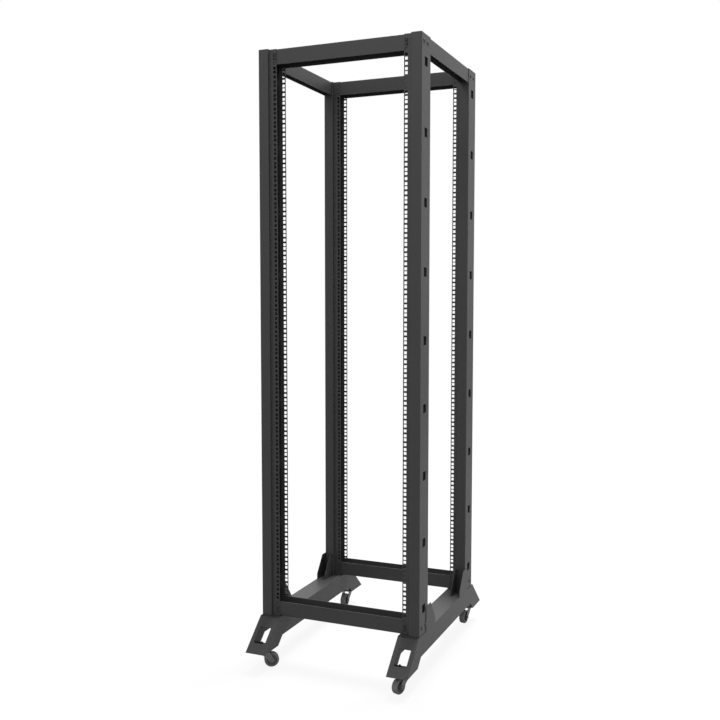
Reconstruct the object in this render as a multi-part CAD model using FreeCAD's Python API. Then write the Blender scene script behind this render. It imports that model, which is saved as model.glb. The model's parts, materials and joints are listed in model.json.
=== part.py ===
"""Four post open frame rack, 42 rack units tall, on two base legs with swivel casters.

Millimetres. X runs to the right, Y to the back and Z up. The origin is on the floor, under the
middle of the rack. Every sub-part is one named solid, written to parts/NAME.step.
"""
import FreeCAD, Part
import math
import os

# ---- rack standard -------------------------------------------------------------------------
RACK_UNIT = 44.45
UNIT_COUNT = 42
HOLES_IN_UNIT = (6.35, 22.225, 38.1)    # centres of the three holes above the unit's lower edge
HOLE_COLUMN_SPACING = 465.1             # left to right, between the two columns of holes
RAIL_OPENING = 450.0                    # free width between the left and right rails
SQUARE_HOLE = 9.5

# ---- post frame ----------------------------------------------------------------------------
FRAME_WIDTH = 574.0                     # over the side walls of the posts
FRAME_DEPTH = 600.0                     # over the front and rear plates of the posts
END_MARGIN = 24.0                       # post beyond the first and the last rack unit
END_HOLE_STEP = 12.7                    # one more hole past the first and the last in the units
POST_SHEET = 2.0
POST_DEPTH = 88.0
PLATE_WIDTH = 36.0                      # smooth outer strip at the front and back of a post
RAIL_RECESS = 11.0                      # the holed rail lies this far behind the outer strip
BEND_RADIUS = 1.5                       # inside radius of every fold

# ---- cable windows in the side walls of the posts ------------------------------------------
SIDE_WINDOW_COUNT = 9
SIDE_WINDOW_HEIGHT = 29.0
SIDE_WINDOW_WIDTH = 28.0
SIDE_WINDOW_CORNER = 3.0
SIDE_WINDOW_END_DISTANCE = 84.0         # first and last centre from the post's ends

# ---- beams ---------------------------------------------------------------------------------
BEAM_SHEET = 2.0
BEAM_HEIGHT = 50.0
SIDE_BEAM_WIDTH = 30.0

# ---- base legs and feet --------------------------------------------------------------------
LEG_SHEET = 2.0
LEG_WIDTH = 72.0
LEG_HEIGHT = 67.0
FOOT_DROP = 95.0                        # from the leg's top down to the foot's lower edge
FOOT_REACH = 115.0                      # in front of the post, measured along the floor
FOOT_LEDGE = 8.0                        # level strip of the leg's top in front of the post
FOOT_BACK = 16.0                        # the foot's back edge starts this far behind the post's front
FOOT_LOW_BACK = 16.0                    # and ends this far in front of it, at the foot's lower edge
EAR_HEIGHT = 84.0                       # ears that brace a post against the leg
EAR_LAP = 22.0                          # the outer ear overlaps the post's side wall by this much
EAR_TOP_REACH = 24.0                    # beyond the post, along the leg
EAR_FOOT_REACH = 72.0
EAR_SHOULDER = 20.0                     # upright part of the ear's free edge
WINDOW_WIDTH = 42.0
WINDOW_LENGTH = 61.0
WINDOW_TOP_MARGIN = 42.0
WINDOW_CORNER = 3.0

# ---- casters -------------------------------------------------------------------------------
WHEEL_RADIUS = 25.0
WHEEL_WIDTH = 20.0
TYRE_THICKNESS = 6.0
TYRE_ROUNDING = 4.0
HUB_RIM_DEPTH = 4.0
HUB_RIM_WIDTH = 3.0
HUB_BOSS_RADIUS = 7.0
HUB_BOSS_LENGTH = 22.0
AXLE_RADIUS = 3.0
AXLE_HEAD_RADIUS = 5.5
AXLE_HEAD_LENGTH = 3.0
WHEEL_CLEARANCE = 6.0                   # between the tyre and the fork's crown
FORK_SHEET = 2.5
FORK_SIDE_GAP = 1.5                     # between the hub's boss and each arm
FORK_EYE_RADIUS = 8.0
RACE_HEIGHT = 5.0
RACE_RADIUS = 16.0
KINGPIN_RADIUS = 5.0
KINGPIN_HEAD_RADIUS = 8.0
KINGPIN_HEAD_HEIGHT = 2.5
CASTER_PLATE = 2.5
CASTER_PLATE_SIDE = 56.0
CASTER_TRAIL = 25.0                     # from the swivel axis to the wheel's axle
CASTER_INSET = 65.0                     # swivel axis behind the foot's toe
RUNNING_FIT = 0.05                      # radial clearance of a pin in its own bore
SEAT_GAP = 0.3                          # axial clearance beside a turning part

# ---- worked out from the sizes above ------------------------------------------------------
POST_HEIGHT = UNIT_COUNT * RACK_UNIT + 2 * END_MARGIN
CASTER_HEIGHT = 2 * WHEEL_RADIUS + WHEEL_CLEARANCE + FORK_SHEET + RACE_HEIGHT + CASTER_PLATE
POST_BASE = CASTER_HEIGHT + FOOT_DROP
POST_TOP = POST_BASE + POST_HEIGHT
HALF_WIDTH = FRAME_WIDTH / 2
FRONT = -FRAME_DEPTH / 2
LEG_OUTER = HALF_WIDTH + LEG_SHEET
LEG_MIDDLE = LEG_OUTER - LEG_WIDTH / 2
PIVOT_Y = FRONT - FOOT_REACH + CASTER_INSET

UP = FreeCAD.Vector(0, 0, 1)
X_AXIS = FreeCAD.Vector(1, 0, 0)
Y_AXIS = FreeCAD.Vector(0, 1, 0)
ORIGIN = FreeCAD.Vector(0, 0, 0)

# trail direction of each caster at rest, in degrees from +X
CASTER_HEADINGS = {
    "front_left": 34.0,
    "front_right": -109.0,
    "rear_left": -90.0,
    "rear_right": -96.0,
}


def vector(x, y, z=0.0):
    return FreeCAD.Vector(x, y, z)


def box(low, high):
    size = high.sub(low)
    return Part.makeBox(size.x, size.y, size.z, low)


def prism(points, direction):
    """Solid between a closed outline of points and the same outline moved by direction."""
    wire = Part.makePolygon(list(points) + [points[0]])
    return Part.Face(wire).extrude(direction)


def mirrored(shape, across_x, across_y):
    """Copy of a front right shape for another corner."""
    if across_x:
        shape = shape.mirror(ORIGIN, X_AXIS)
    if across_y:
        shape = shape.mirror(ORIGIN, Y_AXIS)
    return shape


def folded_section(path, thickness):
    """Face of a folded sheet in the XY plane; path is the middle line of the sheet."""
    middle_radius = BEND_RADIUS + thickness / 2
    runs = [end.sub(start).normalize() for start, end in zip(path, path[1:])]
    sides = []
    for side in (1, -1):
        offset = [vector(-run.y, run.x) * (side * thickness / 2) for run in runs]
        edges = []
        cursor = path[0].add(offset[0])
        for i in range(1, len(runs)):
            before, after = runs[i - 1], runs[i]
            turn = math.copysign(1, before.x * after.y - before.y * after.x)
            reach = middle_radius * math.tan(before.getAngle(after) / 2)
            centre = path[i].sub(before * reach).add(vector(-before.y, before.x) * (turn * middle_radius))
            radius = middle_radius - side * turn * thickness / 2
            start = path[i].sub(before * reach).add(offset[i - 1])
            end = path[i].add(after * reach).add(offset[i])
            crest = centre.add(path[i].sub(centre).normalize() * radius)
            edges.append(Part.LineSegment(cursor, start).toShape())
            edges.append(Part.Arc(start, crest, end).toShape())
            cursor = end
        last = path[-1].add(offset[-1])
        edges.append(Part.LineSegment(cursor, last).toShape())
        sides.append((path[0].add(offset[0]), edges, last))
    (left_start, left_edges, left_end), (right_start, right_edges, right_end) = sides
    ends = [Part.LineSegment(left_end, right_end).toShape(), Part.LineSegment(left_start, right_start).toShape()]
    return Part.Face(Part.Wire(Part.__sortEdges__(left_edges + right_edges + ends)))


# ---- posts ---------------------------------------------------------------------------------

def post_path():
    """Middle line of the post's folded sheet, front right corner, from rail to rail."""
    half = POST_SHEET / 2
    wall = HALF_WIDTH - half
    step = HALF_WIDTH - PLATE_WIDTH + half
    rail = RAIL_OPENING / 2
    front = FRONT + half
    back = FRONT + POST_DEPTH - half
    front_rail = front + RAIL_RECESS
    back_rail = back - RAIL_RECESS
    corners = [(rail, front_rail), (step, front_rail), (step, front), (wall, front)]
    corners += [(wall, back), (step, back), (step, back_rail), (rail, back_rail)]
    return [vector(x, y) for x, y in corners]


def square_holes():
    """Cutters for the two rails of the front right post; one bar goes through both rails."""
    column = HOLE_COLUMN_SPACING / 2
    half = SQUARE_HOLE / 2
    first_unit = POST_BASE + END_MARGIN
    heights = [first_unit + unit * RACK_UNIT + hole for unit in range(UNIT_COUNT) for hole in HOLES_IN_UNIT]
    heights = [heights[0] - END_HOLE_STEP] + heights + [heights[-1] + END_HOLE_STEP]
    bars = []
    for z in heights:
        low = vector(column - half, FRONT - 1, z - half)
        high = vector(column + half, FRONT + POST_DEPTH + 1, z + half)
        bars.append(box(low, high))
    return bars


def side_window(z):
    """Cutter for a cable window in the side wall of the front right post, centred at height z."""
    middle = FRONT + POST_DEPTH / 2
    y = SIDE_WINDOW_WIDTH / 2
    rise = SIDE_WINDOW_HEIGHT / 2
    low = vector(HALF_WIDTH - 2 * POST_SHEET, middle - y, z - rise)
    high = vector(HALF_WIDTH + 2 * POST_SHEET, middle + y, z + rise)
    cutter = box(low, high)
    corners = [edge for edge in cutter.Edges if abs(edge.tangentAt(edge.FirstParameter).x) > 0.99]
    return cutter.makeFillet(SIDE_WINDOW_CORNER, corners)


def side_windows():
    first = POST_BASE + SIDE_WINDOW_END_DISTANCE
    pitch = (POST_HEIGHT - 2 * SIDE_WINDOW_END_DISTANCE) / (SIDE_WINDOW_COUNT - 1)
    return [side_window(first + i * pitch) for i in range(SIDE_WINDOW_COUNT)]


def front_right_post():
    section = folded_section(post_path(), POST_SHEET)
    section.translate(vector(0, 0, POST_BASE))
    post = section.extrude(UP * POST_HEIGHT)
    return post.cut(Part.makeCompound(square_holes() + side_windows()))


# ---- beams ---------------------------------------------------------------------------------

def upward_channel(width, height, length, sheet):
    """U shaped channel along +X: open at the top, middle of its width on Y = 0, floor on Z = 0."""
    half = sheet / 2
    side = width / 2 - half
    path = [vector(-side, height), vector(-side, half), vector(side, half), vector(side, height)]
    section = folded_section(path, sheet)
    section.rotate(ORIGIN, X_AXIS, 90)
    section.rotate(ORIGIN, UP, 90)
    return section.extrude(X_AXIS * length)


def closed_channel(width, height, length, sheet):
    """Channel with a plate that closes each end, where its screws are."""
    channel = upward_channel(width, height, length, sheet)
    inside = width / 2 - sheet
    for start in (0.0, length - sheet):
        low = vector(start, -inside, sheet)
        high = vector(start + sheet, inside, height)
        channel = channel.fuse(box(low, high))
    return channel.removeSplitter()


def cross_beam(at_top, at_back):
    """Beam from side wall to side wall, held between the front and rear rail of both posts."""
    length = FRAME_WIDTH - 2 * POST_SHEET
    width = POST_DEPTH - 2 * (RAIL_RECESS + POST_SHEET)
    beam = closed_channel(width, BEAM_HEIGHT, length, BEAM_SHEET)
    beam.translate(vector(-length / 2, FRONT + POST_DEPTH / 2, 0))
    if at_back:
        beam = mirrored(beam, False, True)
    if at_top:
        beam = beam.mirror(ORIGIN, UP)
    beam.translate(vector(0, 0, POST_TOP if at_top else POST_BASE))
    return beam


def right_side_beam():
    """Upper beam between the front and the rear post, flush with the inside of their side walls."""
    length = FRAME_DEPTH - 2 * POST_DEPTH
    beam = closed_channel(SIDE_BEAM_WIDTH, BEAM_HEIGHT, length, BEAM_SHEET)
    beam.rotate(ORIGIN, UP, 90)
    beam = beam.mirror(ORIGIN, UP)
    x = HALF_WIDTH - POST_SHEET - SIDE_BEAM_WIDTH / 2
    beam.translate(vector(x, -length / 2, POST_TOP))
    return beam


# ---- base legs and feet --------------------------------------------------------------------

def ear_outline(lap):
    """(y, z) points of a front ear, from its foot at the post to its foot along the leg."""
    post_back = FRONT + POST_DEPTH
    top = POST_BASE + EAR_HEIGHT
    return [
        (post_back - lap, POST_BASE),
        (post_back - lap, top),
        (post_back + EAR_TOP_REACH, top),
        (post_back + EAR_FOOT_REACH, POST_BASE + EAR_SHOULDER),
        (post_back + EAR_FOOT_REACH, POST_BASE),
    ]


def leg_wall(x, ears):
    """One side wall of the right leg with its two feet, and with two ears or none, from X = x outwards."""
    toe = POST_BASE - FOOT_DROP
    front_half = [
        (FRONT + FOOT_BACK, POST_BASE - LEG_HEIGHT),
        (FRONT - FOOT_LOW_BACK, toe),
        (FRONT - FOOT_REACH, toe),
        (FRONT - FOOT_LEDGE, POST_BASE),
    ]
    if ears:
        front_half += ear_outline(EAR_LAP)
    outline = [vector(x, y, z) for y, z in front_half]
    outline += [vector(x, -y, z) for y, z in reversed(front_half)]
    return prism(outline, X_AXIS * LEG_SHEET)


def right_leg():
    inner = LEG_OUTER - LEG_WIDTH
    end = FRONT - FOOT_LEDGE
    top = box(vector(inner, end, POST_BASE - LEG_SHEET), vector(LEG_OUTER, -end, POST_BASE))
    leg = top.fuse([leg_wall(inner, False), leg_wall(LEG_OUTER - LEG_SHEET, True)])
    return leg.removeSplitter()


def inner_ear_front_right():
    """Ear that stands on the leg and against the post, at the inner end of the post's smooth strip."""
    x = HALF_WIDTH - PLATE_WIDTH + POST_SHEET + BEND_RADIUS
    return prism([vector(x, y, z) for y, z in ear_outline(0)], X_AXIS * LEG_SHEET)


def foot_front_right():
    """Slanted plate at the front of the right leg, with a window that shows the caster."""
    low_inner = LEG_OUTER - LEG_WIDTH + LEG_SHEET
    low_outer = LEG_OUTER - LEG_SHEET
    slope = vector(0, FOOT_REACH - FOOT_LEDGE, FOOT_DROP)
    length = slope.Length
    along = slope.normalize()
    inward = vector(0, along.z, -along.y)
    toe = vector(low_inner, FRONT - FOOT_REACH, POST_BASE - FOOT_DROP)
    across = X_AXIS * (low_outer - low_inner)
    corners = [toe, toe.add(across), toe.add(across).add(along * length), toe.add(along * length)]
    plate = prism(corners, inward * LEG_SHEET)
    window_low = length - WINDOW_TOP_MARGIN - WINDOW_LENGTH
    middle = vector(LEG_MIDDLE, toe.y, toe.z)
    corner = middle.add(X_AXIS * (-WINDOW_WIDTH / 2)).add(along * window_low).sub(inward * LEG_SHEET)
    window = [corner, corner.add(X_AXIS * WINDOW_WIDTH)]
    window += [window[1].add(along * WINDOW_LENGTH), corner.add(along * WINDOW_LENGTH)]
    cutter = prism(window, inward * (3 * LEG_SHEET))
    upright = [edge for edge in cutter.Edges if abs(edge.tangentAt(edge.FirstParameter).dot(inward)) > 0.99]
    cutter = cutter.makeFillet(WINDOW_CORNER, upright)
    plate = plate.cut(cutter)
    floor_cut = box(
        vector(low_inner, FRONT - 2 * FOOT_REACH, POST_BASE - 2 * FOOT_DROP),
        vector(low_outer, FRONT, POST_BASE - FOOT_DROP),
    )
    top_cut = box(
        vector(low_inner, FRONT - FOOT_REACH, POST_BASE - LEG_SHEET),
        vector(low_outer, FRONT + FOOT_REACH, POST_BASE + FOOT_DROP),
    )
    return plate.cut(floor_cut).cut(top_cut)


def foot_base_right():
    """Level plate that closes the foot and carries the caster."""
    run = FOOT_REACH - FOOT_LEDGE
    slant = run / FOOT_DROP
    low_inner = LEG_OUTER - LEG_WIDTH + LEG_SHEET
    low_outer = LEG_OUTER - LEG_SHEET
    plate_run = LEG_SHEET * math.hypot(run, FOOT_DROP) / FOOT_DROP
    front_low = FRONT - FOOT_REACH + plate_run
    low = POST_BASE - FOOT_DROP
    back = FRONT - FOOT_LOW_BACK
    points = [
        vector(low_inner, front_low, low),
        vector(low_inner, back, low),
        vector(low_inner, back, low + LEG_SHEET),
        vector(low_inner, front_low + LEG_SHEET * slant, low + LEG_SHEET),
    ]
    return prism(points, X_AXIS * (low_outer - low_inner))


# ---- casters, built with the swivel axis on Z and the floor on Z = 0 -----------------------

def ring(outer, inner, length, centre_y):
    """Tube round the wheel's axle line, which runs along Y."""
    start = vector(CASTER_TRAIL, centre_y - length / 2, WHEEL_RADIUS)
    tube = Part.makeCylinder(outer, length, start, Y_AXIS)
    return tube.cut(Part.makeCylinder(inner, length, start, Y_AXIS))


def caster_tyre():
    tyre = ring(WHEEL_RADIUS, WHEEL_RADIUS - TYRE_THICKNESS, WHEEL_WIDTH, 0)
    rims = [e for e in tyre.Edges if hasattr(e.Curve, "Radius") and abs(e.Curve.Radius - WHEEL_RADIUS) < 1e-6]
    rims = [e for e in rims if len(e.Vertexes) == 1]
    return tyre.makeFillet(TYRE_ROUNDING, rims)


def caster_hub():
    """Disc with a rim and a boss; the rim stands under the tyre."""
    rim_outer = WHEEL_RADIUS - TYRE_THICKNESS
    rim_inner = rim_outer - HUB_RIM_WIDTH
    bore = AXLE_RADIUS + RUNNING_FIT
    web = WHEEL_WIDTH - 2 * HUB_RIM_DEPTH
    parts = [ring(rim_inner, bore, web, 0), ring(HUB_BOSS_RADIUS, bore, HUB_BOSS_LENGTH, 0)]
    return ring(rim_outer, rim_inner, WHEEL_WIDTH, 0).fuse(parts).removeSplitter()


def arm_offset():
    """Inner face of a fork arm, from the wheel's middle plane."""
    return HUB_BOSS_LENGTH / 2 + FORK_SIDE_GAP


def fork_arm(side):
    """Tapered arm with a round eye at the axle."""
    top = 2 * WHEEL_RADIUS + WHEEL_CLEARANCE + FORK_SHEET
    eye = vector(CASTER_TRAIL, 0, WHEEL_RADIUS)
    inner = arm_offset()
    low_y = inner if side > 0 else -inner - FORK_SHEET
    arm = Part.makeCylinder(FORK_EYE_RADIUS, FORK_SHEET, vector(eye.x, low_y, eye.z), Y_AXIS)
    outline = [
        vector(-RACE_RADIUS, low_y, top),
        vector(-RACE_RADIUS, low_y, top - 2 * FORK_SHEET),
        vector(eye.x - FORK_EYE_RADIUS * 0.8, low_y, eye.z - FORK_EYE_RADIUS * 0.6),
        vector(eye.x + FORK_EYE_RADIUS * 0.8, low_y, eye.z + FORK_EYE_RADIUS * 0.6),
        vector(RACE_RADIUS, low_y, top - 2 * FORK_SHEET),
        vector(RACE_RADIUS, low_y, top),
    ]
    return arm.fuse(prism(outline, Y_AXIS * FORK_SHEET))


def caster_fork():
    """Crown, race and two arms in one pressed part that turns about the kingpin."""
    crown_low = 2 * WHEEL_RADIUS + WHEEL_CLEARANCE
    half = arm_offset() + FORK_SHEET
    crown = box(
        vector(-RACE_RADIUS, -half, crown_low),
        vector(RACE_RADIUS, half, crown_low + FORK_SHEET),
    )
    race = Part.makeCylinder(RACE_RADIUS, RACE_HEIGHT - SEAT_GAP, vector(0, 0, crown_low + FORK_SHEET))
    fork = crown.fuse([race, fork_arm(1), fork_arm(-1)])
    pin_hole = Part.makeCylinder(KINGPIN_RADIUS + RUNNING_FIT, CASTER_HEIGHT, ORIGIN)
    axle_hole = Part.makeCylinder(AXLE_RADIUS, 4 * half, vector(CASTER_TRAIL, -2 * half, WHEEL_RADIUS), Y_AXIS)
    return fork.cut([pin_hole, axle_hole]).removeSplitter()


def caster_axle():
    """Pin with a head on both ends, fast in the fork."""
    half = arm_offset() + FORK_SHEET
    pin = Part.makeCylinder(AXLE_RADIUS, 2 * half, vector(CASTER_TRAIL, -half, WHEEL_RADIUS), Y_AXIS)
    for start in (-half - AXLE_HEAD_LENGTH, half):
        head = Part.makeCylinder(
            AXLE_HEAD_RADIUS, AXLE_HEAD_LENGTH, vector(CASTER_TRAIL, start, WHEEL_RADIUS), Y_AXIS
        )
        pin = pin.fuse(head)
    return pin.removeSplitter()


def caster_plate():
    """Square top plate with the kingpin; it is bolted to the foot and doesn't turn."""
    half = CASTER_PLATE_SIDE / 2
    low = CASTER_HEIGHT - CASTER_PLATE
    plate = box(vector(-half, -half, low), vector(half, half, CASTER_HEIGHT))
    head_top = 2 * WHEEL_RADIUS + WHEEL_CLEARANCE - SEAT_GAP
    pin = Part.makeCylinder(KINGPIN_RADIUS, CASTER_HEIGHT - head_top, vector(0, 0, head_top))
    head = Part.makeCylinder(
        KINGPIN_HEAD_RADIUS, KINGPIN_HEAD_HEIGHT, vector(0, 0, head_top - KINGPIN_HEAD_HEIGHT)
    )
    return plate.fuse([pin, head]).removeSplitter()


def placed_caster(shape, corner, turns):
    """Move a caster part under its foot; a part that swivels is turned to its heading first."""
    shape = shape.copy()
    if turns:
        shape.rotate(ORIGIN, UP, CASTER_HEADINGS[corner])
    x = -LEG_MIDDLE if "left" in corner else LEG_MIDDLE
    y = -PIVOT_Y if "rear" in corner else PIVOT_Y
    shape.translate(vector(x, y, 0))
    return shape


# ---- assembly ------------------------------------------------------------------------------

def build():
    nodes = {}
    at_corner = {
        "post": front_right_post(),
        "foot_front_plate": foot_front_right(),
        "foot_base_plate": foot_base_right(),
        "inner_ear": inner_ear_front_right(),
    }
    for corner in CASTER_HEADINGS:
        for name, shape in at_corner.items():
            nodes[f"{name}_{corner}"] = mirrored(shape, "left" in corner, "rear" in corner)
    for level in ("top", "bottom"):
        for end in ("front", "rear"):
            nodes[f"{level}_beam_{end}"] = cross_beam(level == "top", end == "rear")
    for side in ("left", "right"):
        nodes[f"top_beam_{side}"] = mirrored(right_side_beam(), side == "left", False)
        nodes[f"base_leg_{side}"] = mirrored(right_leg(), side == "left", False)
    turning = {
        "caster_fork": caster_fork(),
        "caster_axle": caster_axle(),
        "caster_hub": caster_hub(),
        "caster_tyre": caster_tyre(),
    }
    for corner in CASTER_HEADINGS:
        nodes[f"caster_plate_{corner}"] = placed_caster(caster_plate(), corner, False)
        for name, shape in turning.items():
            nodes[f"{name}_{corner}"] = placed_caster(shape, corner, True)
    return nodes


os.makedirs("parts", exist_ok=True)
total = 0.0
whole = FreeCAD.BoundBox()
for node, solid in build().items():
    if len(solid.Solids) != 1 or not solid.isValid():
        print("CHECK", node, len(solid.Solids), solid.isValid())
    total += solid.Volume
    whole.add(solid.BoundBox)
    solid.exportStep(f"parts/{node}.step")
print(f"{len(os.listdir('parts'))} files, volume {total / 1e6:.3f} litres")
print(f"box {whole.XMin:.1f} {whole.YMin:.1f} {whole.ZMin:.1f} to {whole.XMax:.1f} {whole.YMax:.1f} {whole.ZMax:.1f}")
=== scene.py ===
# %% [markdown]
# # A four post open frame rack
#
# This lesson dresses an equipment rack that is screwed together from four folded posts, six
# beams and two base legs on swivel casters. The sheet steel parts come from the CAD model and
# keep their shape. Blender adds the finishes, the screws, the wheels and the studio.

# %% Load the frame
import json
import math
import bpy
from mathutils import Matrix, Vector


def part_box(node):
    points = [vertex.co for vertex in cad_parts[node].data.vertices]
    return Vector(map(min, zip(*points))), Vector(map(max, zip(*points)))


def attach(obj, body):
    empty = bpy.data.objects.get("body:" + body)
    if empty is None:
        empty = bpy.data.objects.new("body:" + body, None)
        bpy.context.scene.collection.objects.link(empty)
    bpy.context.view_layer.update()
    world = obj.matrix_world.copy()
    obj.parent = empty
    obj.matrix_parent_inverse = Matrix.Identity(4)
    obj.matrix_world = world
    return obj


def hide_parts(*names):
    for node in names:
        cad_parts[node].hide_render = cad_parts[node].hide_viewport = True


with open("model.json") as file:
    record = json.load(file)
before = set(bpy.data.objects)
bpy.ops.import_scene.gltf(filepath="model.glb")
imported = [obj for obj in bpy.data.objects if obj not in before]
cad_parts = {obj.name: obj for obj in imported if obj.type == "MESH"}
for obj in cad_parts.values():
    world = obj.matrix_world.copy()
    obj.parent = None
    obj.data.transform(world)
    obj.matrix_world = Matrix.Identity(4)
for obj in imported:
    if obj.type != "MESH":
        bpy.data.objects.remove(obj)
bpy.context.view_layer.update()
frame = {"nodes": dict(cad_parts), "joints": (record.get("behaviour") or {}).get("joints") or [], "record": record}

# %% [markdown]
# ## Sizes that the steps share
#
# A screw could be placed by eye, but then it floats or sinks as soon as the steel changes. So
# positions come from the boxes of the CAD parts, and a screw or a wheel lands where the steel
# is. MM turns a size in millimetres into Blender's metres.

# %% Shared sizes
MM = 0.001
CORNERS = ("front_left", "front_right", "rear_left", "rear_right")


def side_of(corner):
    """-1 on the left and +1 on the right."""
    return -1 if "left" in corner else 1


def end_of(corner):
    """-1 at the front and +1 at the back."""
    return -1 if "front" in corner else 1


post_low, post_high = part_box("post_front_right")
beam_low, beam_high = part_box("top_beam_front")
SIDE_WALL_X = post_high.x
POST_FRONT = -post_low.y
POST_BASE = post_low.z
POST_TOP = post_high.z
BEAM_MIDDLE_Y = (beam_low.y + beam_high.y) / 2
print(f"posts {POST_TOP - POST_BASE:.3f} m tall, side wall at {SIDE_WALL_X:.3f} m")

# %% [markdown]
# ## Shaders as small networks
#
# A material is a network of nodes. It could be drawn by hand in the shader editor. In code the
# same few links come back all the time, so each gets a helper: add a node, map a range, take
# the larger of two values, and multiply two values.

# %% Shader helpers


def add_node(tree, kind, **settings):
    """New shader node with some of its settings."""
    node = tree.nodes.new(kind)
    for key, value in settings.items():
        setattr(node, key, value)
    return node


def spread(tree, value, low, high, out_low, out_high):
    """Map range from low..high to out_low..out_high."""
    node = add_node(tree, "ShaderNodeMapRange")
    node.inputs["From Min"].default_value = low
    node.inputs["From Max"].default_value = high
    node.inputs["To Min"].default_value = out_low
    node.inputs["To Max"].default_value = out_high
    tree.links.new(value, node.inputs["Value"])
    return node.outputs["Result"]


def either(tree, first, second):
    """The larger of two sockets."""
    node = add_node(tree, "ShaderNodeMath", operation="MAXIMUM")
    tree.links.new(first, node.inputs[0])
    tree.links.new(second, node.inputs[1])
    return node.outputs[0]


def multiply(tree, first, second):
    """Product of two values; each is a socket or a number."""
    node = add_node(tree, "ShaderNodeMath", operation="MULTIPLY")
    for value, socket in ((first, node.inputs[0]), (second, node.inputs[1])):
        if isinstance(value, float):
            socket.default_value = value
        else:
            tree.links.new(value, socket)
    return node.outputs[0]


print("shader helpers ready")

# %% [markdown]
# ## A white world
#
# A rack is tall and dark, so it is shown in an all white studio. A world that is simply white
# would wash the dark folds out. Light Path tells which ray is asking: the camera and the
# reflections see full white, and the steel is lit by less. Only the ceiling is dim in
# reflections, so the slanted fronts of the feet stay dark.

# %% World
CAMERA_WHITE = 1.0
AMBIENT_LIGHT = 0.40
CEILING_STARTS = 0.42       # height of a direction on the unit sphere
CEILING_FULL = 0.75


def white_world():
    world = bpy.data.worlds.new("studio_white")
    world.use_nodes = True
    tree = world.node_tree
    tree.nodes.clear()
    path = add_node(tree, "ShaderNodeLightPath").outputs
    split = add_node(tree, "ShaderNodeSeparateXYZ")
    tree.links.new(add_node(tree, "ShaderNodeTexCoord").outputs["Generated"], split.inputs[0])
    below_ceiling = spread(tree, split.outputs["Z"], CEILING_STARTS, CEILING_FULL, 1.0, 0.0)
    mirrored = multiply(tree, path["Is Glossy Ray"], below_ceiling)
    seen = either(tree, path["Is Camera Ray"], mirrored)
    seen = either(tree, seen, path["Is Transmission Ray"])
    background = add_node(tree, "ShaderNodeBackground")
    background.inputs["Color"].default_value = (1, 1, 1, 1)
    output = add_node(tree, "ShaderNodeOutputWorld")
    level = spread(tree, seen, 0.0, 1.0, AMBIENT_LIGHT, CAMERA_WHITE)
    tree.links.new(level, background.inputs["Strength"])
    tree.links.new(background.outputs[0], output.inputs["Surface"])
    bpy.context.scene.world = world


white_world()
print("world:", CAMERA_WHITE, "to the camera,", AMBIENT_LIGHT, "as light")

# %% [markdown]
# ## The floor
#
# The floor is one large plane. White paint alone turns grey away from the lamps, and a glowing
# plane alone takes no shadow. So the material mixes both: near the rack some paint shows, with
# the faint shadow of the casters, and far away it is all glow, so no horizon line shows.

# %% Floor
FLOOR_SIZE = 60.0
FLOOR_PAINT = 0.8           # as the camera sees it
FLOOR_BOUNCE = 0.18         # as the steel sees it
FLOOR_MIRRORED = 0.35       # share of the glow that shows in gloss
FLOOR_GLOW_NEAR = 0.9       # share of the glow beside the rack
FLOOR_NEAR = 1.5
FLOOR_FAR = 6.0


def floor_material():
    """Mostly glow where it is seen, with enough paint near the rack for a shadow."""
    material = bpy.data.materials.new("studio_floor")
    material.use_nodes = True
    tree = material.node_tree
    tree.nodes.clear()
    path = add_node(tree, "ShaderNodeLightPath").outputs
    mirrored = multiply(tree, path["Is Glossy Ray"], FLOOR_MIRRORED)
    seen = either(tree, path["Is Camera Ray"], mirrored)
    distance = add_node(tree, "ShaderNodeVectorMath", operation="LENGTH")
    tree.links.new(add_node(tree, "ShaderNodeTexCoord").outputs["Object"], distance.inputs[0])
    glow_share = spread(tree, distance.outputs["Value"],
                        FLOOR_NEAR, FLOOR_FAR, FLOOR_GLOW_NEAR, 1.0)
    paint = add_node(tree, "ShaderNodeBsdfDiffuse")
    paint_level = spread(tree, seen, 0.0, 1.0, FLOOR_BOUNCE, FLOOR_PAINT)
    tree.links.new(paint_level, paint.inputs["Color"])
    glow = add_node(tree, "ShaderNodeEmission")
    glow.inputs["Strength"].default_value = CAMERA_WHITE
    mix = add_node(tree, "ShaderNodeMixShader")
    output = add_node(tree, "ShaderNodeOutputMaterial")
    tree.links.new(multiply(tree, seen, glow_share), mix.inputs["Fac"])
    tree.links.new(paint.outputs[0], mix.inputs[1])
    tree.links.new(glow.outputs[0], mix.inputs[2])
    tree.links.new(mix.outputs[0], output.inputs["Surface"])
    return material


bpy.ops.object.select_all(action="DESELECT")
bpy.ops.mesh.primitive_plane_add(size=FLOOR_SIZE, location=(0, 0, 0))
floor = bpy.context.object
floor.name = "studio_floor"
floor.data.materials.append(floor_material())
print("floor laid at z = 0")

# %% [markdown]
# ## The lamps
#
# One lamp would do for a box, but a rack is all folds. A large key lamp hangs high above the
# back, so level faces and side walls catch the light and the fronts stay dark. A weak one in
# front of the top lifts the upper fronts a little, and a fill lamp above the camera looks into
# the folded posts, so their inner faces don't go black.

# %% Lamps
RACK_MIDDLE = Vector((0, 0, (POST_BASE + POST_TOP) / 2))
KEY_DIRECTION = Vector((0.04, 0.42, 0.91)).normalized()
KEY_DISTANCE = 7.0
LAMPS = (       # name, place, target, size in metres, power in watts
    ("key_lamp", RACK_MIDDLE + KEY_DIRECTION * KEY_DISTANCE, RACK_MIDDLE, 4.0, 900),
    ("front_lamp", Vector((-0.6, -2.4, 3.6)), Vector((0, -0.3, POST_TOP)), 1.2, 14),
    ("fill_lamp", Vector((1.3, -3.2, 2.2)), Vector((0, 0, 1.5)), 1.4, 13),
)


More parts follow.
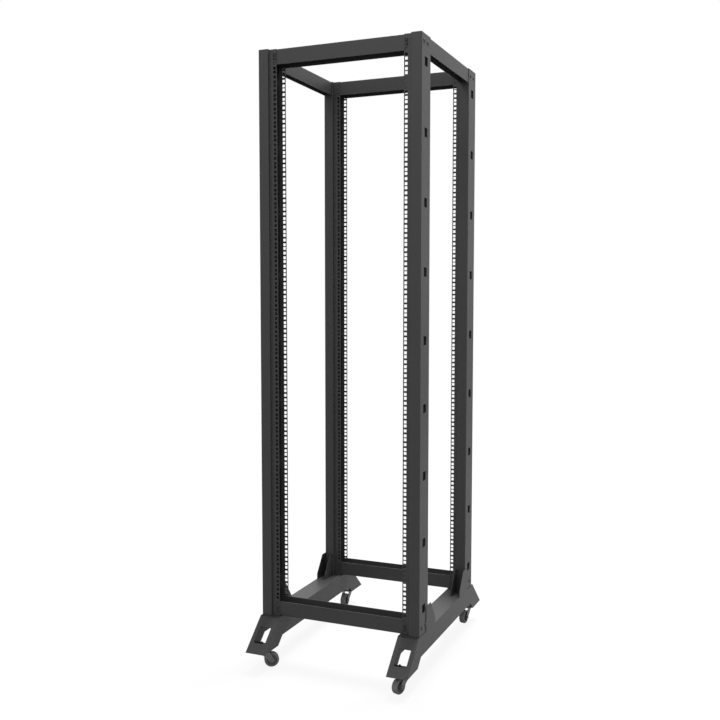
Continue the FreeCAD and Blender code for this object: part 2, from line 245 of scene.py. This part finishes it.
def hang_lamp(name, place, target, size, power):
    """Round area lamp that faces its target."""
    data = bpy.data.lights.new(name, "AREA")
    data.shape = "DISK"
    data.size = size
    data.energy = power
    lamp = bpy.data.objects.new(name, data)
    lamp.location = place
    lamp.rotation_euler = (target - place).to_track_quat("-Z", "Y").to_euler()
    bpy.context.scene.collection.objects.link(lamp)


for lamp_facts in LAMPS:
    hang_lamp(*lamp_facts)
print(len(LAMPS), "lamps hung")

# %% [markdown]
# ## The camera
#
# The camera stands a little to the right of the rack, at chest height. It could look level and
# shift its lens, which keeps every post upright, but a shift follows the camera to other views
# and cuts the rack there. Looking down by a few degrees leans the posts too little to notice.

# %% Camera
CAMERA_PLACE = Vector((1.251, -3.050, 1.262))
CAMERA_YAW = 23.06          # degrees to the left
CAMERA_PITCH = -3.98        # degrees up
SENSOR = 36.0               # millimetres, as the lens
LENS = 46.205

camera_data = bpy.data.cameras.new("studio_camera")
camera_data.sensor_width = SENSOR
camera_data.lens = LENS
camera = bpy.data.objects.new("studio_camera", camera_data)
camera.location = CAMERA_PLACE
camera.rotation_euler = (math.radians(90 + CAMERA_PITCH), 0, math.radians(CAMERA_YAW))
bpy.context.scene.collection.objects.link(camera)
bpy.context.scene.camera = camera
bpy.context.scene.view_settings.view_transform = "Standard"
print(f"lens {camera_data.lens:.1f} mm")

# %% [markdown]
# ## Tools for finishes
#
# A single colour looks like a toy. Real finishes drift in colour and have a grain that gloss
# breaks on, and here their edges are painted lighter, partly as wear and partly as a highlight.
# These helpers make the three: noise, bump, and a Bevel node that finds edges by comparing a
# rounded normal with the true one.

# %% Finish helpers
NOISE_LOW, NOISE_HIGH = 0.3, 0.7        # a noise texture mostly stays between these
FLAT, SHARP = 0.98, 0.80                # how well the two normals agree
BEVEL_SAMPLES = 4


def new_material(name):
    """Material, its tree, its shader and the place on the object as a socket."""
    material = bpy.data.materials.new(name)
    material.use_nodes = True
    tree = material.node_tree
    place = add_node(tree, "ShaderNodeTexCoord").outputs["Object"]
    return material, tree, tree.nodes["Principled BSDF"], place


def noise(tree, place, scale, detail, roughness=0.5):
    node = add_node(tree, "ShaderNodeTexNoise")
    node.inputs["Scale"].default_value = scale
    node.inputs["Detail"].default_value = detail
    node.inputs["Roughness"].default_value = roughness
    tree.links.new(place, node.inputs["Vector"])
    return node.outputs["Fac"]


def by_noise(tree, value, low, high):
    """Map a noise to low..high."""
    return spread(tree, value, NOISE_LOW, NOISE_HIGH, low, high)


def mix_colours(tree, share, first, second):
    """Blend two colours; each is a socket or a tuple."""
    node = add_node(tree, "ShaderNodeMix", data_type="RGBA")
    tree.links.new(share, node.inputs["Factor"])
    for value, socket in ((first, node.inputs["A"]), (second, node.inputs["B"])):
        if isinstance(value, tuple):
            socket.default_value = value + (1.0,)
        else:
            tree.links.new(value, socket)
    return node.outputs["Result"]


def bump(tree, height, strength, distance, below=None):
    """Normal that a height gives, on top of the normal below it."""
    node = add_node(tree, "ShaderNodeBump")
    node.inputs["Strength"].default_value = strength
    node.inputs["Distance"].default_value = distance
    tree.links.new(height, node.inputs["Height"])
    if below is not None:
        tree.links.new(below, node.inputs["Normal"])
    return node.outputs["Normal"]


def edge_share(tree, radius):
    """1 on sharp edges and 0 on flat sheet, and the normal with rounded edges."""
    bevel = add_node(tree, "ShaderNodeBevel", samples=BEVEL_SAMPLES)
    bevel.inputs["Radius"].default_value = radius
    geometry = add_node(tree, "ShaderNodeNewGeometry")
    dot = add_node(tree, "ShaderNodeVectorMath", operation="DOT_PRODUCT")
    tree.links.new(bevel.outputs["Normal"], dot.inputs[0])
    tree.links.new(geometry.outputs["Normal"], dot.inputs[1])
    return spread(tree, dot.outputs["Value"], FLAT, SHARP, 0.0, 1.0), bevel.outputs["Normal"]


print("finish helpers ready")

# %% [markdown]
# ## The powder coat
#
# The sheet steel is sprayed with a fine textured powder and baked. Close up it is a skin of soft
# grains; from afar it is an even satin grey black. The grains could be real geometry, but they
# are far too small for that, so they are bump: a soft peel below, a fine grain above. Folded and
# punched edges are painted lighter all along as a highlight, and more in places where the coat
# is thin and rubbed.

# %% Powder coat
COAT_DARK = (0.056, 0.056, 0.057)
COAT_LIGHT = (0.066, 0.066, 0.067)
# lighter tone for every edge: a painted highlight, partly rubbed coat
COAT_EDGE_HIGHLIGHT_AND_WEAR = (0.13, 0.13, 0.132)
COAT_IOR = 1.38


def powder_coat():
    material, tree, shader, place = new_material("fine_texture_powder_coat")
    drift = noise(tree, place, scale=5.0, detail=4.0)
    grain = noise(tree, place, scale=900.0, detail=2.0)
    peel = noise(tree, place, scale=260.0, detail=1.0)
    wear = noise(tree, place, scale=40.0, detail=4.0)
    edges, soft_normal = edge_share(tree, 1.2 * MM)
    # painted highlight along every edge, stronger where the wear noise marks rubbed coat
    edge_highlight_and_wear = multiply(tree, edges, spread(tree, wear, 0.35, 0.65, 0.15, 0.6))
    coat = mix_colours(tree, drift, COAT_DARK, COAT_LIGHT)
    tree.links.new(mix_colours(tree, edge_highlight_and_wear, coat, COAT_EDGE_HIGHLIGHT_AND_WEAR), shader.inputs["Base Color"])
    tree.links.new(by_noise(tree, peel, 0.40, 0.50), shader.inputs["Roughness"])
    shader.inputs["IOR"].default_value = COAT_IOR
    skin = bump(tree, peel, 0.25, 0.25 * MM, soft_normal)
    tree.links.new(bump(tree, grain, 0.35, 0.12 * MM, skin), shader.inputs["Normal"])
    return material


POWDER_COAT = powder_coat()
print("made", POWDER_COAT.name)

# %% [markdown]
# ## Plated and blackened steel
#
# The casters' forks and plates are pressed from steel and zinc plated, which leaves soft clouds
# on a dull metal. The screws in the frame are blackened in an oil bath, which leaves a dark skin
# that is not metallic any more. Both have their edges painted lighter, as a highlight.

# %% Zinc plate and black steel


def zinc_plate():
    material, tree, shader, place = new_material("zinc_plated_steel")
    clouds = noise(tree, place, scale=60.0, detail=5.0, roughness=0.6)
    fine = noise(tree, place, scale=1500.0, detail=2.0)
    edges, soft_normal = edge_share(tree, 0.6 * MM)
    tone = mix_colours(tree, clouds, (0.12, 0.12, 0.124), (0.19, 0.19, 0.195))
    # painted highlight: every edge mixed to a lighter zinc tone
    tone = mix_colours(tree, edges, tone, (0.32, 0.32, 0.32))
    tree.links.new(tone, shader.inputs["Base Color"])
    shader.inputs["Metallic"].default_value = 1.0
    tree.links.new(by_noise(tree, clouds, 0.30, 0.46), shader.inputs["Roughness"])
    tree.links.new(bump(tree, fine, 0.2, 0.05 * MM, soft_normal), shader.inputs["Normal"])
    return material


def blackened_steel():
    material, tree, shader, place = new_material("blackened_screw_steel")
    clouds = noise(tree, place, scale=300.0, detail=4.0, roughness=0.6)
    fine = noise(tree, place, scale=2500.0, detail=2.0)
    edges, soft_normal = edge_share(tree, 0.4 * MM)
    tone = mix_colours(tree, clouds, (0.022, 0.022, 0.023), (0.034, 0.034, 0.035))
    # painted highlight: every edge mixed to a lighter tone
    tone = mix_colours(tree, edges, tone, (0.07, 0.07, 0.07))
    tree.links.new(tone, shader.inputs["Base Color"])
    tree.links.new(by_noise(tree, clouds, 0.34, 0.50), shader.inputs["Roughness"])
    tree.links.new(bump(tree, fine, 0.2, 0.03 * MM, soft_normal), shader.inputs["Normal"])
    return material


ZINC_PLATE = zinc_plate()
BLACK_STEEL = blackened_steel()
print("made", ZINC_PLATE.name, "and", BLACK_STEEL.name)

# %% [markdown]
# ## Plastic and rubber
#
# The hubs are moulded in dark plastic with a fine spark eroded grain. The treads are grey rubber
# and pick up dust. One colour for all of it would look new, so a noise decides where the dust
# lies: most of the tread is clean, with pale patches.

# %% Hub plastic and tread rubber


def moulded_plastic():
    material, tree, shader, place = new_material("moulded_hub_plastic")
    drift = noise(tree, place, scale=30.0, detail=3.0)
    grain = noise(tree, place, scale=2200.0, detail=2.0)
    tone = mix_colours(tree, drift, (0.120, 0.120, 0.122), (0.160, 0.160, 0.162))
    tree.links.new(tone, shader.inputs["Base Color"])
    tree.links.new(by_noise(tree, drift, 0.42, 0.55), shader.inputs["Roughness"])
    tree.links.new(bump(tree, grain, 0.3, 0.05 * MM), shader.inputs["Normal"])
    return material


def grey_rubber():
    material, tree, shader, place = new_material("grey_tread_rubber")
    dust = noise(tree, place, scale=120.0, detail=6.0, roughness=0.65)
    grain = noise(tree, place, scale=1800.0, detail=2.0)
    dusty = spread(tree, dust, 0.45, 0.75, 0.0, 1.0)
    tone = mix_colours(tree, dusty, (0.235, 0.235, 0.237), (0.32, 0.317, 0.312))
    tree.links.new(tone, shader.inputs["Base Color"])
    tree.links.new(by_noise(tree, dust, 0.62, 0.85), shader.inputs["Roughness"])
    tree.links.new(bump(tree, grain, 0.4, 0.08 * MM), shader.inputs["Normal"])
    return material


HUB_PLASTIC = moulded_plastic()
TREAD_RUBBER = grey_rubber()
print("made", HUB_PLASTIC.name, "and", TREAD_RUBBER.name)

# %% [markdown]
# ## Finish the CAD parts
#
# Each CAD part names a material slot in the record. Giving every part its finish by that name,
# and not by its own name, means that a part that is added later is finished too.

# %% Give each part its finish
FINISHES = {
    "powder_coat": POWDER_COAT,
    "plated_steel": ZINC_PLATE,
    "caster_plastic": HUB_PLASTIC,
    "caster_tyre": TREAD_RUBBER,
}
for part in frame["record"]["subparts"]:
    node = frame["nodes"][part["node"]]
    node.data.materials.clear()
    node.data.materials.append(FINISHES[part["material_slot"]])

# %% [markdown]
# ## Pick and shape, like at the bench
#
# Small hardware is turned and milled. Here it starts as a cylinder or a prism along +Z, and its
# edges are picked by where they lie, as a hand would pick them in edit mode. Picking by number
# would be shorter, but the numbers change with every operator.

# %% Bench helpers: pick and shape
TOUCH = 0.01 * MM       # two heights this close are the same
HEX_SIDES = 6
THREAD_SIDES = 24
WASHER_SIDES = 32
HEAD_SIDES = 36


def only(piece=None):
    """Select one piece and make it active, or nothing."""
    bpy.ops.object.select_all(action="DESELECT")
    if piece is not None:
        piece.select_set(True)
        bpy.context.view_layer.objects.active = piece


def cylinder(sides, radius, low, high):
    """Closed cylinder or prism along Z from low to high."""
    only()
    bpy.ops.mesh.primitive_cylinder_add(vertices=sides, radius=radius, depth=high - low,
                                        location=(0, 0, (low + high) / 2))
    piece = bpy.context.object
    bpy.ops.object.transform_apply(location=True, rotation=True, scale=True)
    return piece


def drop_picks(piece):
    """Make a piece active with nothing in its mesh selected."""
    only(piece)
    mesh = piece.data
    for item in list(mesh.vertices) + list(mesh.edges) + list(mesh.polygons):
        item.select = False
    return mesh


def pick_edges(piece, test):
    """Enter edit mode with only the edges selected whose two ends pass the test."""
    mesh = drop_picks(piece)
    for edge in mesh.edges:
        first, second = (mesh.vertices[i].co for i in edge.vertices)
        edge.select = test(first, second)
    bpy.context.tool_settings.mesh_select_mode = (False, True, False)
    bpy.ops.object.mode_set(mode="EDIT")


def done():
    bpy.ops.object.mode_set(mode="OBJECT")


def rim_at(height):
    """Test for edges that lie level at one height."""
    return lambda first, second: abs(first.z - height) < TOUCH and abs(second.z - height) < TOUCH


def round_rim(piece, height, width, segments):
    pick_edges(piece, rim_at(height))
    bpy.ops.mesh.bevel(offset=width, segments=segments, affect="EDGES")
    done()


print("picking ready")

# %% [markdown]
# ## Join, copy and hand in
#
# A piece is shaped once, as a pattern, and every place gets a copy with its own mesh. The copy's
# place is put into its mesh, so its object sits at the origin as a CAD part's does. Handing in
# hangs the piece on the body it rides on and hides the CAD part that it stands for.

# %% Bench helpers: join, copy and hand in


def join(pieces):
    """Join pieces into the first one."""
    only(pieces[0])
    for piece in pieces:
        piece.select_set(True)
    bpy.ops.object.join()
    return pieces[0]


def carve(piece, cutter):
    """Take the cutter out of the piece."""
    only(piece)
    cut = piece.modifiers.new("carve", "BOOLEAN")
    cut.operation = "DIFFERENCE"
    cut.solver = "EXACT"
    cut.object = cutter
    bpy.ops.object.modifier_apply(modifier=cut.name)
    bpy.data.objects.remove(cutter)


def smooth(piece, angle=35):
    only(piece)
    bpy.ops.object.shade_smooth_by_angle(angle=math.radians(angle))


def laid_copy(pattern, matrix):
    """Copy of a pattern with its own mesh, laid by the matrix, with its object at the origin."""
    copy = pattern.copy()
    copy.data = pattern.data.copy()
    bpy.context.scene.collection.objects.link(copy)
    copy.matrix_world = matrix
    only(copy)
    bpy.ops.object.transform_apply(location=True, rotation=True, scale=True)
    return copy


def lay_along(axis, place):
    """Matrix that turns +Z to a level axis, keeps +Y upright, and moves to place."""
    outward = Vector(axis).normalized()
    upright = Vector((0, 0, 1))
    across = upright.cross(outward)
    turn = Matrix((across, upright, outward)).transposed().to_4x4()
    return Matrix.Translation(place) @ turn


def hand_in(piece, name, body, slot, material, *replaced):
    """Name and finish a piece, and say what it rides on and stands for."""
    piece.name = name
    piece.data.name = name
    piece.data.materials.clear()
    piece.data.materials.append(material)
    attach(piece, body)
    if replaced:
        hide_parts(*replaced)


print("bench ready")

# %% [markdown]
# ## Side screws
#
# Each post is held to its cross beams by two low headed socket screws at the top and two at the
# bottom, driven through the side wall. The head is a disc with a rounded rim, and a six sided
# prism is carved out for the key. Insetting the cap would make the same hole, but with the
# disc's many corners and not six. One head is made, and every post gets four copies.

# %% Side screws
SCREW_RADIUS = 7.0 * MM
SCREW_HEIGHT = 1.8 * MM
SCREW_RIM = 1.0 * MM
SOCKET_RADIUS = 2.9 * MM
SOCKET_DEPTH = 1.3 * MM
SCREW_SPREAD = 18.0 * MM        # each side of the beam's middle
SCREW_FROM_END = 23.5 * MM

screw = cylinder(HEAD_SIDES, SCREW_RADIUS, 0, SCREW_HEIGHT)
round_rim(screw, SCREW_HEIGHT, SCREW_RIM, 4)
key_hole = cylinder(HEX_SIDES, SOCKET_RADIUS,
                    SCREW_HEIGHT - SOCKET_DEPTH, SCREW_HEIGHT + SOCKET_DEPTH)
carve(screw, key_hole)
smooth(screw)
for corner in CORNERS:
    side = side_of(corner)
    middle = -end_of(corner) * BEAM_MIDDLE_Y
    heads = []
    for height in (POST_BASE + SCREW_FROM_END, POST_TOP - SCREW_FROM_END):
        for step in (-SCREW_SPREAD, SCREW_SPREAD):
            place = Vector((side * SIDE_WALL_X, middle + step, height))
            heads.append(laid_copy(screw, lay_along((side, 0, 0), place)))
    hand_in(join(heads), f"side_screws_{corner}", "rack_frame", "powder_coat", BLACK_STEEL)
bpy.data.objects.remove(screw)
print("16 side screws at", round(SIDE_WALL_X, 4), "m")

# %% [markdown]
# ## Beam screws
#
# The front and rear beams stop behind the holed rails. Two pan headed screws at each end go
# through the rail's last square holes and hold the beam. A pan head could be a squashed sphere,
# but a disc whose upper rim is bevelled deep and in many steps keeps its flat top. It sits on a
# thin washer and has the same key hole as the side screws.

# %% Beam screws
PAN_RADIUS = 5.4 * MM
PAN_HEIGHT = 4.2 * MM
PAN_BEVEL = 2.2 * MM
PAN_SOCKET_DEPTH = 2.6 * MM
COLLAR_RADIUS = 6.2 * MM
COLLAR_HEIGHT = 1.0 * MM
COLLAR_RIM = 0.3 * MM
SCREWED_HOLES = (17.65 * MM, 30.35 * MM)    # the two holes nearest a post's end
HOLE_COLUMNS = 465.1 * MM                   # from the left column of holes to the right one
RAIL_RECESS = 11.0 * MM
RAIL_FACE_Y = POST_FRONT - RAIL_RECESS

collar = cylinder(WASHER_SIDES, COLLAR_RADIUS, 0, COLLAR_HEIGHT)
round_rim(collar, COLLAR_HEIGHT, COLLAR_RIM, 2)
pan = cylinder(HEAD_SIDES, PAN_RADIUS, COLLAR_HEIGHT, PAN_HEIGHT)
round_rim(pan, PAN_HEIGHT, PAN_BEVEL, 6)
key_hole = cylinder(HEX_SIDES, SOCKET_RADIUS,
                    PAN_HEIGHT - PAN_SOCKET_DEPTH, PAN_HEIGHT + SOCKET_DEPTH)
carve(pan, key_hole)
pan_screw = join([collar, pan])
smooth(pan_screw)
for corner in CORNERS:
    end = end_of(corner)
    screws = []
    for rise in SCREWED_HOLES:
        for height in (POST_BASE + rise, POST_TOP - rise):
            place = Vector((side_of(corner) * HOLE_COLUMNS / 2, end * RAIL_FACE_Y, height))
            screws.append(laid_copy(pan_screw, lay_along((0, end, 0), place)))
    hand_in(join(screws), f"beam_screws_{corner}", "rack_frame", "powder_coat", BLACK_STEEL)
bpy.data.objects.remove(pan_screw)
print("16 beam screws at", round(RAIL_FACE_Y, 4), "m")

# %% [markdown]
# ## Caster bolts
#
# A caster hangs on four bolts. Their hexagon heads sit under the caster's plate, and their nuts
# stand inside the foot, where the window shows them. Head, nut and washer are short prisms with
# bevelled rims. The thread's end is a plain pin, because no one gets near enough to see turns.

# %% Caster bolts
HEX_RADIUS = 5.6 * MM
HEAD_HEIGHT = 3.4 * MM
NUT_HEIGHT = 5.0 * MM
HEX_RIM = 0.5 * MM
WASHER_RADIUS = 6.2 * MM
WASHER_HEIGHT = 1.0 * MM
WASHER_RIM = 0.25 * MM
THREAD_RADIUS = 3.0 * MM
THREAD_SHOWS = 2.6 * MM
THREAD_RIM = 0.6 * MM
BOLT_SPREAD = 21.0 * MM
CASTER_PLATE_SHEET = 2.5 * MM


def hex_stack(hex_height, thread):
    """Washer, six sided head or nut, and a thread end if there is one."""
    washer = cylinder(WASHER_SIDES, WASHER_RADIUS, 0, WASHER_HEIGHT)
    round_rim(washer, WASHER_HEIGHT, WASHER_RIM, 2)
    top = WASHER_HEIGHT + hex_height
    head = cylinder(HEX_SIDES, HEX_RADIUS, WASHER_HEIGHT, top)
    round_rim(head, top, HEX_RIM, 2)
    stack = [washer, head]
    if thread:
        end = cylinder(THREAD_SIDES, THREAD_RADIUS, top - THREAD_SHOWS, top + THREAD_SHOWS)
        round_rim(end, top + THREAD_SHOWS, THREAD_RIM, 2)
        stack.append(end)
    piece = join(stack)
    smooth(piece)
    return piece


bolt_head = hex_stack(HEAD_HEIGHT, False)
bolt_nut = hex_stack(NUT_HEIGHT, True)
DOWNWARD = Matrix.Rotation(math.pi, 4, "X")
for corner in CORNERS:
    plate_low, plate_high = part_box(f"caster_plate_{corner}")
    foot_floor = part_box(f"foot_base_plate_{corner}")[1].z
    centre = (plate_low + plate_high) / 2
    underside = plate_high.z - CASTER_PLATE_SHEET
    stacks = []
    for x in (centre.x - BOLT_SPREAD, centre.x + BOLT_SPREAD):
        for y in (centre.y - BOLT_SPREAD, centre.y + BOLT_SPREAD):
            below = Matrix.Translation((x, y, underside)) @ DOWNWARD
            above = Matrix.Translation((x, y, foot_floor))
            stacks += [laid_copy(bolt_head, below), laid_copy(bolt_nut, above)]
    hand_in(join(stacks), f"caster_bolts_{corner}", "rack_frame", "plated_steel", ZINC_PLATE)
bpy.data.objects.remove(bolt_head)
bpy.data.objects.remove(bolt_nut)
print("16 bolts with nuts")

# %% [markdown]
# ## Faces and bores
#
# A wheel has a hole for its axle. It could be carved like a key hole, but a carved wall doesn't
# line up with the rings around it. So the caps are picked, inset to the bore and taken out, and
# the two rims that stay open are bridged by a clean wall.

# %% Bench helpers: faces and bores
STRAIGHT = 0.9          # a normal this close to an axis counts as along it


def pick_faces(piece, test):
    """Enter edit mode with only the faces selected whose centre and normal pass the test."""
    for face in drop_picks(piece).polygons:
        face.select = test(face.center, face.normal)
    bpy.context.tool_settings.mesh_select_mode = (False, False, True)
    bpy.ops.object.mode_set(mode="EDIT")


def is_cap(centre, normal):
    """Test for faces that close the ends of a cylinder."""
    return abs(normal.z) > STRAIGHT


def bridge_bore():
    """In edit mode, take out the picked caps and wall the bore between their rims."""
    bpy.ops.mesh.delete(type="FACE")
    bpy.ops.mesh.select_mode(type="EDGE")
    bpy.ops.mesh.select_all(action="DESELECT")
    bpy.ops.mesh.select_non_manifold()
    bpy.ops.mesh.bridge_edge_loops()
    done()


print("bores ready")

# %% [markdown]
# ## Tyres
#
# The tread is a grey rubber band with rounded shoulders. A torus would be too round. So a
# cylinder gets its caps inset and opened, the two inner rims are bridged, and the outer rims are
# bevelled. A shallow groove in the middle is the mark that the two halves of the mould leave:
# three cuts by bisect, and the middle one drawn in.

# %% Tyres
JOINTS = {joint["name"]: joint for joint in frame["joints"]}
TYRE_RADIUS = 25.0 * MM
TYRE_WIDTH = 20.0 * MM
TYRE_THICKNESS = 6.0 * MM
SHOULDER = 4.0 * MM
GROOVE_WIDTH = 1.2 * MM
GROOVE_SCALE = 0.988
WHEEL_SIDES = 72


def at_wheel(pattern, corner):
    """Copy of a pattern, laid along a wheel's axle."""
    joint = JOINTS[f"wheel_{corner}"]
    return laid_copy(pattern, lay_along(joint["axis"], Vector(joint["pos_m"])))


def outer_rim_at(height):
    """Test for edges at one height that lie further out than the tyre's bore."""
    level = rim_at(height)
    middle = TYRE_RADIUS - TYRE_THICKNESS / 2
    return lambda first, second: (level(first, second) and first.xy.length > middle
                                  and second.xy.length > middle)


tyre = cylinder(WHEEL_SIDES, TYRE_RADIUS, -TYRE_WIDTH / 2, TYRE_WIDTH / 2)
pick_faces(tyre, is_cap)
bpy.ops.mesh.inset(thickness=TYRE_THICKNESS, depth=0)
bridge_bore()
for height in (-TYRE_WIDTH / 2, TYRE_WIDTH / 2):
    pick_edges(tyre, outer_rim_at(height))
    bpy.ops.mesh.bevel(offset=SHOULDER, segments=6, affect="EDGES")
    done()
for height in (-GROOVE_WIDTH / 2, 0, GROOVE_WIDTH / 2):
    only(tyre)
    bpy.ops.object.mode_set(mode="EDIT")
    bpy.ops.mesh.select_all(action="SELECT")
    bpy.ops.mesh.bisect(plane_co=(0, 0, height), plane_no=(0, 0, 1))
    done()
pick_edges(tyre, outer_rim_at(0))
bpy.ops.transform.resize(value=(GROOVE_SCALE, GROOVE_SCALE, 1), center_override=(0, 0, 0))
done()
smooth(tyre, angle=50)
for corner in CORNERS:
    hand_in(at_wheel(tyre, corner), f"tread_{corner}", f"caster_wheel_{corner}", "caster_tyre",
            TREAD_RUBBER, f"caster_tyre_{corner}")
bpy.data.objects.remove(tyre)
print("tyre radius", TYRE_RADIUS, "m")

# %% [markdown]
# ## Hubs
#
# The hub is moulded in plastic: a rim under the tread, a thin web, a boss for the axle and six
# ribs on each side. It could be put together from rings and bars, but a moulding is one skin. So
# all of it comes from a cylinder whose caps are inset step by step. Each step has a little
# draft, as a mould needs, and the ribs are faces of the web that are drawn out.

# %% Hubs
HUB_RADIUS = 19.0 * MM
RIM_WIDTH = 2.7 * MM
WEB_DEPTH = 4.0 * MM
DRAFT = 0.3 * MM
BOSS_RADIUS = 7.0 * MM
BOSS_RISE = 5.0 * MM
BORE_RADIUS = 3.05 * MM
RIB_COUNT = 6
RIB_RISE = 2.4 * MM
WEB_RADIUS = HUB_RADIUS - RIM_WIDTH - DRAFT


def is_rib(centre, normal):
    """Test for faces of the web that lie on one of the evenly spread ribs."""
    on_web = is_cap(centre, normal) and BOSS_RADIUS < centre.xy.length < WEB_RADIUS
    turn = math.degrees(math.atan2(centre.y, centre.x)) % (360 / RIB_COUNT)
    return on_web and turn < 360 / WHEEL_SIDES


hub = cylinder(WHEEL_SIDES, HUB_RADIUS, -TYRE_WIDTH / 2, TYRE_WIDTH / 2)
pick_faces(hub, is_cap)
bpy.ops.mesh.inset(thickness=RIM_WIDTH, depth=0)
bpy.ops.mesh.inset(thickness=DRAFT, depth=-WEB_DEPTH)
bpy.ops.mesh.inset(thickness=WEB_RADIUS - BOSS_RADIUS, depth=0)
bpy.ops.mesh.inset(thickness=DRAFT, depth=BOSS_RISE)
bpy.ops.mesh.inset(thickness=BOSS_RADIUS - DRAFT - BORE_RADIUS, depth=0)
bridge_bore()
pick_faces(hub, is_rib)
bpy.ops.mesh.inset(thickness=DRAFT / 2, depth=RIB_RISE)
done()
smooth(hub)
for corner in CORNERS:
    hand_in(at_wheel(hub, corner), f"wheel_hub_{corner}", f"caster_wheel_{corner}",
            "caster_plastic", HUB_PLASTIC, f"caster_hub_{corner}")
bpy.data.objects.remove(hub)
print("hub with", RIB_COUNT, "ribs a side")

# %% [markdown]
# ## Axles
#
# A bolt with a hexagon head and a lock nut runs through both arms of the fork and the hub. It
# replaces the plain pin of the CAD model and keeps its length and its width over the heads. The
# pin, the head, the nut and the nut's round collar stay separate shells in one piece, as they
# are separate on the real axle.

# %% Axles
PIN_RADIUS = 3.0 * MM
FORK_HALF = 15.0 * MM
AXLE_HEX = 5.5 * MM
AXLE_HEAD = 3.0 * MM
LOCK_RING_HEIGHT = 0.9 * MM
LOCK_RING_RADIUS = 0.78 * AXLE_HEX
LOCK_RIM = 0.4 * MM
HEAD_END = FORK_HALF + AXLE_HEAD

pin = cylinder(WASHER_SIDES, PIN_RADIUS, -FORK_HALF, FORK_HALF)
axle_head = cylinder(HEX_SIDES, AXLE_HEX, FORK_HALF, HEAD_END)
round_rim(axle_head, HEAD_END, HEX_RIM, 2)
lock_nut = cylinder(HEX_SIDES, AXLE_HEX, LOCK_RING_HEIGHT - HEAD_END, -FORK_HALF)
round_rim(lock_nut, LOCK_RING_HEIGHT - HEAD_END, LOCK_RIM, 2)
lock_ring = cylinder(WASHER_SIDES, LOCK_RING_RADIUS, -HEAD_END, -FORK_HALF)
round_rim(lock_ring, -HEAD_END, LOCK_RIM, 3)
axle = join([pin, axle_head, lock_nut, lock_ring])
smooth(axle)
for corner in CORNERS:
    hand_in(at_wheel(axle, corner), f"axle_bolt_{corner}", f"caster_swivel_{corner}",
            "plated_steel", ZINC_PLATE, f"caster_axle_{corner}")
bpy.data.objects.remove(axle)
print("axle bolts", round(HEAD_END * 2 / MM, 1), "mm long")
